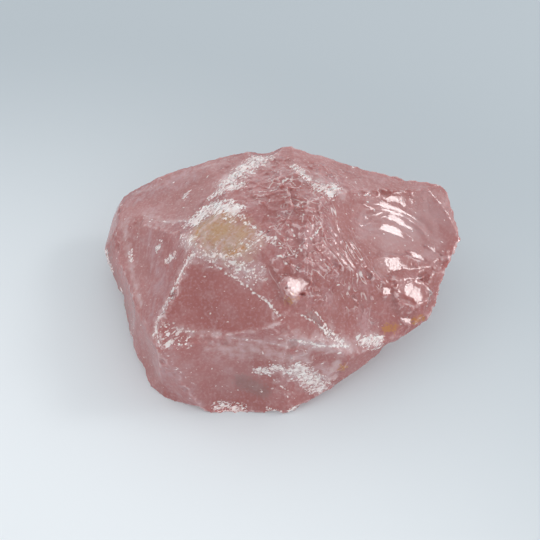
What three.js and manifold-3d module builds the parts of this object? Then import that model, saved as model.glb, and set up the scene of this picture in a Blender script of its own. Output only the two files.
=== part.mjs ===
// A rough chunk of rose quartz, broken from a larger mass: one solid stone, with no other piece.
// Units are millimetres and +Z is up. The stone lies on its broadest flat break. +X runs along its
// length and -Y is its steep front. The origin is on the ground under the middle of the stone.
//
// The stone is shaped as it broke: a block with flat breaks all round, then flakes struck off it.
// Quartz breaks in shells, so each flake leaves a hollow that is a piece of a large ball.

import * as THREE from 'three';
import { ConvexGeometry } from 'three/addons/geometries/ConvexGeometry.js';
import { mergeVertices } from 'three/addons/utils/BufferGeometryUtils.js';
import Module from 'manifold-3d';

// The driving dimensions: the block before any flake is struck.
const LENGTH = 112;
const DEPTH = 81;
const HEIGHT = 42;

const BALL_DETAIL = 20; // facets along each edge of the icosahedron that a ball is made from
const MERGE_WITHIN = 1e-3;

// Corners and aims are [across, deep, up] shares of the block: across and deep from -0.5 to 0.5,
// up from 0 at the ground to 1 at the crest.

// The rim: the widest line round the stone, clockwise from its left tip as seen from above.
const RIM = [
  [-0.51, 0.19, 0.24],
  [-0.50, 0.29, 0.29],
  [-0.48, 0.36, 0.36],
  [-0.45, 0.41, 0.45],
  [-0.34, 0.42, 0.60],
  [-0.22, 0.44, 0.71],
  [-0.09, 0.47, 0.79],
  [0.03, 0.46, 0.83],
  [0.18, 0.40, 0.77],
  [0.34, 0.36, 0.66],
  [0.47, 0.38, 0.57],
  [0.49, 0.27, 0.50],
  [0.50, 0.15, 0.45],
  [0.46, 0.03, 0.38],
  [0.41, -0.15, 0.31],
  [0.35, -0.21, 0.26],
  [0.26, -0.29, 0.21],
  [0.17, -0.37, 0.17],
  [0.06, -0.46, 0.07],
];

// The shoulder: the ridge above the rim down the left side, which parts the top from the left wall.
const SHOULDER = [
  [-0.46, 0.31, 0.50],
  [-0.46, 0.17, 0.50],
  [-0.42, -0.01, 0.43],
  [-0.37, -0.20, 0.36],
  [-0.42, -0.11, 0.14],
  [-0.39, -0.26, 0.10],
];

// The crest: the corners of the high ground.
const CREST = [
  [-0.18, 0.03, 0.98],
  [-0.07, -0.10, 0.97],
  [0.06, 0.10, 1.00],
  [-0.23, -0.13, 0.91],
  [-0.31, -0.38, 0.55],
  [-0.02, -0.36, 0.74],
  [0.16, -0.37, 0.46],
  [0.07, -0.22, 0.85],
];

// The foot: the corners of the flat break that the stone lies on.
const FOOT = [
  [-0.36, -0.35, 0],
  [-0.31, -0.41, 0],
  [-0.20, -0.47, 0],
  [-0.04, -0.49, 0],
  [0.02, -0.47, 0],
  [0.16, -0.28, 0],
  [0.30, 0.02, 0],
  [0.26, 0.28, 0],
  [0.00, 0.36, 0],
  [-0.30, 0.30, 0],
  [-0.38, 0.05, 0],
];

// The flakes, each struck where a line through its aim, coming from the way it faces, meets the block.
// ball is the radius of the hollow it leaves, and bite how deep that goes.
const FLAKES = [
  // The top, from the right.
  { name: 'right dish', aim: [0.29, 0.10, 0.6], faces: [0.2, -0.1, 1], ball: 75, bite: 4.2 },
  { name: 'right front', aim: [0.20, -0.20, 0.6], faces: [0.5, -0.6, 1], ball: 70, bite: 3.0 },
  { name: 'back right', aim: [0.26, 0.33, 0.7], faces: [0.2, 0.5, 1], ball: 95, bite: 2.0 },
  { name: 'front shell', aim: [-0.17, -0.24, 0.8], faces: [0, -0.6, 1], ball: 75, bite: 2.6 },
  { name: 'left slope', aim: [-0.34, -0.02, 0.6], faces: [-0.6, 0, 1], ball: 95, bite: 2.6 },
  { name: 'back left', aim: [-0.27, 0.17, 0.8], faces: [-0.3, 0.4, 1], ball: 115, bite: 2.4 },
  // The walls, from the front clockwise.
  { name: 'front wall', aim: [-0.10, -0.42, 0.35], faces: [0, -1, 0.3], ball: 75, bite: 2.8 },
  { name: 'front right wall', aim: [0.10, -0.40, 0.30], faces: [0.6, -1, 0.2], ball: 50, bite: 2.0 },
  { name: 'front left wall', aim: [-0.34, -0.36, 0.25], faces: [-1, -1, 0.4], ball: 70, bite: 1.3 },
  { name: 'left wall', aim: [-0.45, -0.05, 0.25], faces: [-1, -0.3, 0.1], ball: 70, bite: 1.4 },
  { name: 'back left wall', aim: [-0.36, 0.40, 0.30], faces: [-0.5, 1, -0.3], ball: 75, bite: 3.4 },
  { name: 'back wall', aim: [-0.08, 0.42, 0.35], faces: [-0.1, 1, -0.4], ball: 90, bite: 3.2 },
  { name: 'back spall', aim: [0.10, 0.42, 0.60], faces: [0.2, 1, 0], ball: 40, bite: 2.2 },
  { name: 'back right wall', aim: [0.30, 0.34, 0.30], faces: [0.4, 1, -0.5], ball: 80, bite: 3.8 },
  { name: 'right underside', aim: [0.36, 0.05, 0.15], faces: [1, -0.2, -1], ball: 60, bite: 3.4 },
  { name: 'front right skirt', aim: [0.26, -0.24, 0.12], faces: [0.7, -1, -0.5], ball: 50, bite: 2.4 },
];

const wasm = await Module();
wasm.setup();

const place = ([across, deep, up]) => new THREE.Vector3(across * LENGTH, deep * DEPTH, up * HEIGHT);

/** A manifold-3d solid from a closed three.js geometry. */
function solidOf(geometry) {
  const bare = geometry.clone();
  bare.deleteAttribute('normal');
  bare.deleteAttribute('uv');
  const mesh = mergeVertices(bare, MERGE_WITHIN);
  return new wasm.Manifold(new wasm.Mesh({
    numProp: 3,
    vertProperties: new Float32Array(mesh.attributes.position.array),
    triVerts: new Uint32Array(mesh.index.array),
  }));
}

/** A three.js geometry from a manifold-3d solid. */
function geometryOf(solid) {
  const mesh = solid.getMesh();
  return new THREE.BufferGeometry()
    .setAttribute('position', new THREE.BufferAttribute(mesh.vertProperties, 3))
    .setIndex(new THREE.BufferAttribute(mesh.triVerts, 1));
}

/** Where a line through aim, coming in against faces, first meets the block, and the face it meets. */
function struckAt(block, aim, faces) {
  const out = new THREE.Vector3(...faces).normalize();
  const start = place(aim).addScaledVector(out, LENGTH);
  const [hit] = new THREE.Raycaster(start, out.negate()).intersectObject(block);
  return { point: hit.point, normal: hit.face.normal };
}

/** The ball whose bite into the block is the hollow that one flake leaves. */
function flakeBall(block, { aim, faces, ball, bite }) {
  const { point, normal } = struckAt(block, aim, faces);
  const centre = point.addScaledVector(normal, ball - bite);
  return solidOf(new THREE.IcosahedronGeometry(ball, BALL_DETAIL).translate(...centre));
}

/** The stone, with every flake struck off the block. */
function stoneGeometry() {
  const hull = new ConvexGeometry([...RIM, ...SHOULDER, ...CREST, ...FOOT].map(place));
  const block = new THREE.Mesh(hull);
  const struck = FLAKES.reduce(
    (solid, flake) => solid.subtract(flakeBall(block, flake)),
    solidOf(hull),
  );
  return geometryOf(struck);
}

/** The geometry, moved so that the middle of its foot box is the origin. */
function overOrigin(geometry) {
  geometry.computeBoundingBox();
  const { min, max } = geometry.boundingBox;
  return geometry.translate(-(min.x + max.x) / 2, -(min.y + max.y) / 2, -min.z);
}

const stone = new THREE.Mesh(
  overOrigin(stoneGeometry()),
  new THREE.MeshStandardMaterial({ color: 0xa97876, roughness: 0.25, metalness: 0 }),
);
stone.name = 'rose_quartz_chunk';

const part = new THREE.Group();
part.add(stone);

export default part;
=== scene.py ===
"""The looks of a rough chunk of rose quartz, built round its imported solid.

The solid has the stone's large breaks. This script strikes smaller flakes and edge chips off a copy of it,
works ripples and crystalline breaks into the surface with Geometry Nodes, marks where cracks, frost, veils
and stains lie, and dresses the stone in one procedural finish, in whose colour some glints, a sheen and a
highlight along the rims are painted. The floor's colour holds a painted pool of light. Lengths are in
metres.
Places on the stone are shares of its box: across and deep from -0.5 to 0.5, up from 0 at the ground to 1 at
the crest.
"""

import logging
import math
from dataclasses import dataclass
from enum import Enum
from typing import Any

import bmesh
import bpy
import numpy as np
from mathutils import Matrix, Vector, noise
from mathutils.bvhtree import BVHTree


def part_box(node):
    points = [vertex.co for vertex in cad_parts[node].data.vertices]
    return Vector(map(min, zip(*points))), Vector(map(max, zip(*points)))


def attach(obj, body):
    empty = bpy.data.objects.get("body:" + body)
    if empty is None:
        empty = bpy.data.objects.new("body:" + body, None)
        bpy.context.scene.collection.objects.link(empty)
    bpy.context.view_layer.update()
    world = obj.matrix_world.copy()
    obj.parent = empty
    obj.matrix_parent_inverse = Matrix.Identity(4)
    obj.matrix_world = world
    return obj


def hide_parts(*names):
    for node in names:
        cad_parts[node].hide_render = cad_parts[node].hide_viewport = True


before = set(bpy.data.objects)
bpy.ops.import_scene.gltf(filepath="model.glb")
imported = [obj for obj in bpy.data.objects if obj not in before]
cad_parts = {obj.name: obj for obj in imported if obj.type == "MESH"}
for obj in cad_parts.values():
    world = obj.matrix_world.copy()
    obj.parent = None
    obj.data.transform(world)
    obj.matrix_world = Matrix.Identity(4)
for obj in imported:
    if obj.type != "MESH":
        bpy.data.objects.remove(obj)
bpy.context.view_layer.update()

NODE = "rose_quartz_chunk"
BODY = "root"
# Where the edges stand out: bruised, and partly a painted rim highlight.
WEAR_AND_RIM_HIGHLIGHT = "wear_and_rim_highlight"
GLASSY = "glassy"

MM = 0.001

Share = tuple[float, float, float]
Place = tuple[float, float]
Way = tuple[float, float, float]
Colour = tuple[float, float, float, float]

log = logging.getLogger("rose_quartz")


# ---------------------------------------------------------------- node trees written as expressions


class Value:
    """The output of a node. Arithmetic on it adds Math nodes, or Vector Math nodes if it meets a vector."""

    def __init__(self, graph: "Graph", socket: bpy.types.NodeSocket) -> None:
        """Wraps a socket.

        Args:
            graph: the graph that the socket's node is in.
            socket: the output socket.
        """
        self.graph = graph
        self.socket = socket

    def is_vector(self) -> bool:
        """Says whether the socket gives a vector."""
        return self.socket.type in ("VECTOR", "RGBA")

    @staticmethod
    def has_three(side: Any) -> bool:
        """Says whether one side of an operation has three numbers."""
        return isinstance(side, tuple) or isinstance(side, Value) and side.is_vector()

    def combine(self, operation: str, first: Any, second: Any) -> "Value":
        """Adds the node of one arithmetic operation.

        Args:
            operation: the operation's name, which Math and Vector Math share.
            first: the left side.
            second: the right side.

        Returns:
            The node's result.
        """
        sides = {0: first, 1: second}
        if not any(self.has_three(side) for side in sides.values()):
            return self.graph.node("ShaderNodeMath", {"operation": operation}, sides)
        for number, side in sides.items():
            if isinstance(side, (int, float)):
                sides[number] = (side,) * 3
        return self.graph.node("ShaderNodeVectorMath", {"operation": operation}, sides)

    def __add__(self, other: Any) -> "Value":
        """Adds the other side."""
        return self.combine("ADD", self, other)

    def __radd__(self, other: Any) -> "Value":
        """Is added to the other side."""
        return self.combine("ADD", other, self)

    def __sub__(self, other: Any) -> "Value":
        """Takes the other side away."""
        return self.combine("SUBTRACT", self, other)

    def __rsub__(self, other: Any) -> "Value":
        """Is taken from the other side."""
        return self.combine("SUBTRACT", other, self)

    def __mul__(self, other: Any) -> "Value":
        """Multiplies by the other side."""
        return self.combine("MULTIPLY", self, other)

    def __rmul__(self, other: Any) -> "Value":
        """Multiplies the other side."""
        return self.combine("MULTIPLY", other, self)

    def __truediv__(self, other: Any) -> "Value":
        """Divides by the other side."""
        return self.combine("DIVIDE", self, other)

    def __abs__(self) -> "Value":
        """The size of a number, without its sign."""
        return self.graph.node("ShaderNodeMath", {"operation": "ABSOLUTE"}, {0: self})


class Graph:
    """One node tree, to which nodes are added by type."""

    def __init__(self, tree: bpy.types.NodeTree) -> None:
        """Starts an empty tree.

        Args:
            tree: the tree, which loses any nodes that it has.
        """
        self.tree = tree
        tree.nodes.clear()

    def node(
        self,
        kind: str,
        settings: dict[str, Any] | None = None,
        inputs: dict[int | str, Any] | None = None,
        output: int | str = 0,
    ) -> Value:
        """Adds one node.

        Args:
            kind: the node's type.
            settings: the node's own properties, set before its sockets.
            inputs: a value or a link for each socket, by name or by number.
            output: the name or number of the output that is wanted.

        Returns:
            That output, or the node's first input where it has no output.
        """
        made = self.tree.nodes.new(kind)
        for name, value in (settings or {}).items():
            setattr(made, name, value)
        for name, value in (inputs or {}).items():
            if isinstance(value, Value):
                self.tree.links.new(value.socket, made.inputs[name])
            else:
                made.inputs[name].default_value = value
        return Value(self, made.outputs[output] if made.outputs else made.inputs[0])

    def largest(self, first: Any, *others: Any) -> Value:
        """The largest of two or more numbers."""
        for other in others:
            first = self.node("ShaderNodeMath", {"operation": "MAXIMUM"}, {0: first, 1: other})
        return first

    def sine(self, angle: Value) -> Value:
        """The sine of an angle in radians."""
        return self.node("ShaderNodeMath", {"operation": "SINE"}, {0: angle})

    def length(self, vector: Value) -> Value:
        """The length of a vector."""
        return self.node("ShaderNodeVectorMath", {"operation": "LENGTH"}, {0: vector}, "Value")

    def dot(self, first: Any, second: Any) -> Value:
        """The dot product of two vectors."""
        sides = {0: first, 1: second}
        return self.node("ShaderNodeVectorMath", {"operation": "DOT_PRODUCT"}, sides, "Value")

    def rise(self, value: Value, start: float, end: float) -> Value:
        """A smooth step from 0 at start to 1 at end. It falls where start is above end."""
        settings = {"interpolation_type": "SMOOTHSTEP"}
        if start < end:
            return self.node("ShaderNodeMapRange", settings, {0: value, 1: start, 2: end, 3: 0.0, 4: 1.0})
        return self.node("ShaderNodeMapRange", settings, {0: value, 1: end, 2: start, 3: 1.0, 4: 0.0})

    def noise(self, position: Value, size: float, detail: float = 2.0, output: str = "Fac") -> Value:
        """Cloudy noise.

        Args:
            position: where it is read.
            size: the length of its largest lumps.
            detail: how many times finer lumps are added.
            output: Fac for a number, or Color for a vector, about 0.5.

        Returns:
            The noise.
        """
        inputs = {"Vector": position, "Scale": 1 / size, "Detail": detail}
        return self.node("ShaderNodeTexNoise", None, inputs, output)

    def stir(self, position: Value, size: float, reach: float) -> Value:
        """The position, pushed about by noise.

        Args:
            position: where it starts.
            size: the length of the noise's lumps.
            reach: about how far it is pushed.

        Returns:
            The pushed position.
        """
        return position + (self.noise(position, size, 1.0, "Color") - 0.5) * (4 * reach)

    def drawn_out(self, position: Value, way: Way, times: float) -> Value:
        """The position, squeezed along one way, so that a pattern read there is drawn out along it.

        Args:
            position: where it starts.
            way: the way in which the pattern is drawn out.
            times: how many times longer it gets.

        Returns:
            The squeezed position.
        """
        unit = tuple(Vector(way).normalized())
        return position - self.dot(position, unit) * (1 - 1 / times) * unit

    def threads(self, position: Value, size: float, width: float) -> Value:
        """Long wandering lines, from 0 between them to 1 on them.

        Args:
            position: where they are read.
            size: about how far apart they run.
            width: how wide they are, as a share of that.

        Returns:
            The lines.
        """
        return self.rise(abs(self.noise(position, size, 0.0) - 0.5), width, 0.0)

    def tilts(self, position: Value, size: float) -> Value:
        """Flat breaks, one in each cell of a stirred pattern, each tilted its own way.

        Args:
            position: where they are read.
            size: the length of a break.

        Returns:
            The height, for a slope of about one.
        """
        stirred = self.stir(position, size * 1.5, size * 0.15)
        cell = self.cells(stirred, size)
        return self.dot(stirred - cell["Position"], cell["Color"] - 0.5) * 2

    def cells(self, position: Value, size: float, feature: str = "F1") -> dict[str, Value]:
        """A Voronoi pattern.

        Args:
            position: where it is read.
            size: the length of a cell.
            feature: what it measures.

        Returns:
            The node's outputs by name.
        """
        inputs = {"Vector": position, "Scale": 1 / size}
        made = self.node("ShaderNodeTexVoronoi", {"feature": feature}, inputs).socket.node
        return {socket.name: Value(self, socket) for socket in made.outputs if socket.enabled}

    def blend(self, factor: Any, first: Any, second: Any) -> Value:
        """A colour from first, where factor is 0, to second, where it is 1."""
        inputs = {0: factor, 6: first, 7: second}
        return self.node("ShaderNodeMix", {"data_type": "RGBA"}, inputs, 2)

    def attribute(self, name: str) -> Value:
        """A number that the mesh holds, in a shader tree."""
        return self.node("ShaderNodeAttribute", {"attribute_name": name}, None, "Fac")


class ShapeGraph(Graph):
    """A Geometry Nodes tree that takes a mesh and gives one back."""

    def __init__(self, name: str, sizes: dict[str, float]) -> None:
        """Starts the tree.

        Args:
            name: the tree's name.
            sizes: its named inputs, with the value that each starts from.
        """
        super().__init__(bpy.data.node_groups.new(name, "GeometryNodeTree"))
        sockets = self.tree.interface
        sockets.new_socket(name="Geometry", in_out="INPUT", socket_type="NodeSocketGeometry")
        sockets.new_socket(name="Geometry", in_out="OUTPUT", socket_type="NodeSocketGeometry")
        sockets.new_socket(name="Material", in_out="INPUT", socket_type="NodeSocketMaterial")
        for size, value in sizes.items():
            made = sockets.new_socket(name=size, in_out="INPUT", socket_type="NodeSocketFloat")
            made.default_value = value
        self.inputs = self.node("NodeGroupInput").socket.node

    def given(self, name: str) -> Value:
        """One of the tree's inputs, by name."""
        return Value(self, self.inputs.outputs[name])

    def hold(self, geometry: Value, name: str, value: Value, kind: str = "FLOAT") -> Value:
        """Holds a value on the points of a geometry.

        Args:
            geometry: the geometry.
            name: the name that the value is held under.
            value: the value.
            kind: the kind of value.

        Returns:
            The geometry, which holds it.
        """
        inputs = {0: geometry, "Name": name, "Value": value}
        return self.node("GeometryNodeStoreNamedAttribute", {"data_type": kind}, inputs)

    def stored(self, name: str, kind: str = "FLOAT") -> Value:
        """What the points hold under a name."""
        return self.node("GeometryNodeInputNamedAttribute", {"data_type": kind}, {"Name": name})

    def one_random(self, seed: int) -> Value:
        """A random number from 0 to 1 for each element, the same each time."""
        inputs = {2: 0.0, 3: 1.0, "Seed": seed}
        return self.node("FunctionNodeRandomValue", {"data_type": "FLOAT"}, inputs, 1)

    def three_random(self, smallest: float, largest: float, seed: int) -> Value:
        """Three random numbers between two sizes for each element, the same each time."""
        inputs = {0: (smallest,) * 3, 1: (largest,) * 3, "Seed": seed}
        return self.node("FunctionNodeRandomValue", {"data_type": "FLOAT_VECTOR"}, inputs)

    def finish(self, geometry: Value) -> bpy.types.NodeTree:
        """Realizes the instances, sets the material and ends the tree.

        Args:
            geometry: what the tree has made.

        Returns:
            The tree.
        """
        real = self.node("GeometryNodeRealizeInstances", None, {0: geometry})
        inputs = {0: real, "Material": self.given("Material")}
        dressed = self.node("GeometryNodeSetMaterial", None, inputs)
        self.node("NodeGroupOutput", None, {0: dressed})
        return self.tree


def grow(piece: bpy.types.Object, tree: bpy.types.NodeTree, inputs: dict[str, Any]) -> None:
    """Runs a Geometry Nodes tree on a piece and keeps the result as its plain mesh.

    Args:
        piece: the piece.
        tree: the tree.
        inputs: values for the tree's named inputs.
    """
    modifier = piece.modifiers.new(tree.name, "NODES")
    modifier.node_group = tree
    for item in tree.interface.items_tree:
        if item.in_out == "INPUT" and item.name in inputs:
            modifier[item.identifier] = inputs[item.name]
    settle(piece)


def settle(piece: bpy.types.Object) -> None:
    """Turns what a piece's modifiers make into its plain mesh, and removes them.

    Args:
        piece: the piece.
    """
    depsgraph = bpy.context.evaluated_depsgraph_get()
    old = piece.data
    made = bpy.data.meshes.new_from_object(
        piece.evaluated_get(depsgraph), preserve_all_data_layers=True, depsgraph=depsgraph
    )
    piece.modifiers.clear()
    piece.data = made
    bpy.data.meshes.remove(old)


# ---------------------------------------------------------------- the stone's shape


@dataclass(frozen=True)
class Block:
    """The box of the solid, which every place on the stone is a share of.

    Attributes:
        low: its lowest corner.
        high: its highest corner.
    """

    low: Vector
    high: Vector

    @property
    def size(self) -> Vector:
        """The box's three sides."""
        return self.high - self.low

    def place(self, share: Share) -> Vector:
        """Finds the point at a share of the box.

        Args:
            share: the share.

        Returns:
            The point.
        """
        across, deep, up = share
        middle = (self.low + self.high) / 2
        return Vector((
            middle.x + across * self.size.x,
            middle.y + deep * self.size.y,
            self.low.z + up * self.size.z,
        ))


@dataclass(frozen=True)
class Flake:
    """A flake struck off the stone, which leaves a shallow hollow.

    Attributes:
        name: what it is called.
        aim: a share near the middle of the hollow.
        faces: the way the middle of the hollow looks, out of the stone.
        ball: the radius of the ball that its floor is a piece of.
        bite: how deep the hollow goes under its middle.
    """

    name: str
    aim: Share
    faces: Way
    ball: float
    bite: float


@dataclass(frozen=True)
class Facet:
    """A small glassy break, long and narrow.

    Attributes:
        name: what it is called.
        start: its one end, as seen from above.
        end: its other end.
        width: how wide it is in the middle.
        bow: how far its ends bend to the front, in half widths.
        taper: how much narrower it is towards its end, from 0 to 1.
    """

    name: str
    start: Place
    end: Place
    width: float
    bow: float = 0.0
    taper: float = 0.0


@dataclass(frozen=True)
class Ripple:
    """Shell ripples round a point, as a blow leaves in glassy stone.

    Attributes:
        name: what they are called.
        source: the share that they run round.
        start: the distance of the first ripple.
        end: the distance of the last ripple.
        spacing: the distance from one ripple to the next.
        height: how high they stand.
        towards: the way in which they are strongest.
        spread: the cosine, against towards, past which they are gone.
    """

    name: str
    source: Share
    start: float
    end: float
    spacing: float
    height: float
    towards: Way
    spread: float


@dataclass(frozen=True)
class Hackles:
    """Fine straight ridges that run out from a point, across the ripples.

    Attributes:
        name: what they are called.
        source: the share that they run out from.
        start: the distance at which they start.
        end: the distance at which they are gone.
        number: how many there are in a turn of one radian.
        height: how high they stand.
        towards: the way in which they are strongest.
        spread: the cosine, against towards, past which they are gone.
    """

    name: str
    source: Share
    start: float
    end: float
    number: float
    height: float
    towards: Way
    spread: float


class Mark(Enum):
    """The kinds of mark on the stone, each held on the mesh under its own name."""

    ROUGH = "rough"
    LINED = "lined"
    SMOOTH = "smooth"
    CRACK = "crack"
    # Frost, and a few small spots that are painted glints.
    FROST_AND_GLINTS = "frost_and_glints"
    VEIL = "veil"
    # Milky cloud, and on the dish a painted sheen.
    HAZE_AND_SHEEN = "haze_and_sheen"
    OCHRE = "ochre"
    RUST = "rust"
    SMUDGE = "smudge"
    PALE = "pale"


class Side(Enum):
    """The side that a place on the skin is seen from, which says what its two shares are."""

    TOP = "across and deep"
    FRONT = "across and up"


@dataclass(frozen=True)
class Trace:
    """Where one mark lies: along a line over the stone, or round a point.

    Attributes:
        path: the places that it runs through.
        reach: how far it spreads to each side.
        strength: how strong it is along its line.
    """

    path: tuple[Place, ...]
    reach: float
    strength: float = 1.0


FLAKES = (
    Flake("crown hollow", (0.00, 0.06, 1), (0, -0.1, 1), 60 * MM, 1.0 * MM),
    Flake("crown step", (0.10, 0.24, 0.95), (0.1, 0.2, 1), 30 * MM, 0.9 * MM),
    Flake("back notch", (-0.045, 0.46, 0.80), (0, 0.6, 1), 9 * MM, 1.3 * MM),
)

FACETS = (
    # The dish.
    Facet("left arc", (0.22, 0.22), (0.26, 0.21), 1.1 * MM, 1.0),
    Facet("short arc", (0.22, 0.17), (0.24, 0.17), 1.0 * MM),
    Facet("lower short arc", (0.21, 0.12), (0.23, 0.13), 0.9 * MM),
    Facet("arc by the back rim", (0.22, 0.26), (0.25, 0.28), 0.7 * MM, 1.0),
    Facet("right arc", (0.39, 0.12), (0.44, 0.09), 1.3 * MM, 0.5),
    # The band in front of the dish.
    Facet("eye", (0.34, 0.08), (0.40, 0.05), 2.0 * MM, 0.6),
    Facet("band", (0.24, -0.05), (0.37, 0.05), 6.0 * MM, 0.3, 0.5),
    Facet("tail of the band", (0.35, 0.02), (0.42, 0.02), 0.9 * MM, 1.0),
    Facet("thin arc", (0.33, -0.07), (0.38, -0.02), 0.7 * MM, 1.4),
    # The right tip.
    Facet("tip shell", (0.29, -0.13), (0.40, -0.08), 9.5 * MM, 0.0, 0.2),
    Facet("first tip chip", (0.26, -0.12), (0.31, -0.13), 3.0 * MM, 0.0, 0.5),
    Facet("second tip chip", (0.29, -0.15), (0.35, -0.16), 4.4 * MM),
    Facet("third tip chip", (0.31, -0.17), (0.34, -0.21), 3.6 * MM, 0.0, 0.4),
    # The slope between the crown and the dish.
    Facet("slope streak", (0.17, 0.01), (0.20, -0.05), 1.5 * MM, 0.6),
    Facet("streak beside it", (0.16, -0.03), (0.19, -0.10), 1.3 * MM, 0.6),
    Facet("slope chip", (0.24, -0.05), (0.25, -0.07), 0.9 * MM),
    Facet("lower slope chip", (0.23, -0.15), (0.24, -0.16), 0.9 * MM),
    Facet("lowest slope chip", (0.18, -0.18), (0.20, -0.19), 0.9 * MM),
    # The crown and the front face.
    Facet("crown chip", (0.12, 0.19), (0.15, 0.21), 1.3 * MM),
    Facet("glossy chip", (0.01, -0.26), (0.07, -0.21), 6.0 * MM, 0.0, 0.5),
    Facet("chip beside it", (-0.01, -0.25), (0.01, -0.24), 1.3 * MM),
    Facet("chip under it", (0.04, -0.27), (0.06, -0.26), 1.1 * MM),
)

RIPPLES = (
    Ripple("back of the dish", (0.28, 0.00, 0.52), 12 * MM, 23 * MM, 4.6 * MM, 0.15 * MM,
           (0.1, 1, 0.2), 0.6),
    Ripple("left of the dish", (0.32, 0.09, 0.55), 11 * MM, 18 * MM, 2.8 * MM, 0.06 * MM,
           (-1, 0.8, 0.2), 0.8),
    Ripple("front of the dish", (0.34, 0.30, 0.60), 17 * MM, 28 * MM, 5.5 * MM, 0.05 * MM,
           (0.1, -1, 0), 0.7),
    Ripple("side of the crown", (0.06, -0.21, 0.85), 12 * MM, 26 * MM, 2.6 * MM, 0.16 * MM,
           (0.66, 0.75, -0.2), 0.8),
    Ripple("front face", (-0.20, -0.14, 0.88), 14 * MM, 34 * MM, 5.0 * MM, 0.03 * MM,
           (0.4, -1, 0), 0.4),
)

HACKLES = (
    Hackles("side of the crown", (0.00, 0.02, 1.0), 10 * MM, 34 * MM, 16, 0.14 * MM, (1, -0.5, -0.5), 0.6),
    Hackles("front face", (-0.16, 0.0, 0.95), 12 * MM, 36 * MM, 22, 0.05 * MM, (0, -1, -0.6), 0.6),
    Hackles("left slope", (-0.16, 0.0, 0.95), 12 * MM, 34 * MM, 20, 0.08 * MM, (-1, -0.2, -0.5), 0.3),
    Hackles("front wall", (-0.02, -0.36, 0.72), 4 * MM, 26 * MM, 14, 0.12 * MM, (0.2, -0.3, -1), 0.3),
)

# Lines over the stone that more than one mark follows. The second is seen from the front.
FRONT_EDGE = ((-0.24, -0.33), (-0.16, -0.35), (-0.06, -0.37), (0.02, -0.39))
RIGHT_EDGE = ((0.02, 0.61), (0.07, 0.59), (0.11, 0.51), (0.17, 0.44))
LEFT_CREASE = ((-0.22, -0.11), (-0.25, -0.16), (-0.30, -0.29), (-0.31, -0.34))
CROWN_EDGE = ((-0.06, -0.09), (-0.12, -0.13), (-0.21, -0.10), (-0.24, -0.02))
CROWN_FOOT = ((-0.12, -0.14), (-0.06, -0.20))
BACK_BAND = ((-0.05, 0.42), (-0.09, 0.35), (-0.14, 0.27))

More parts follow.
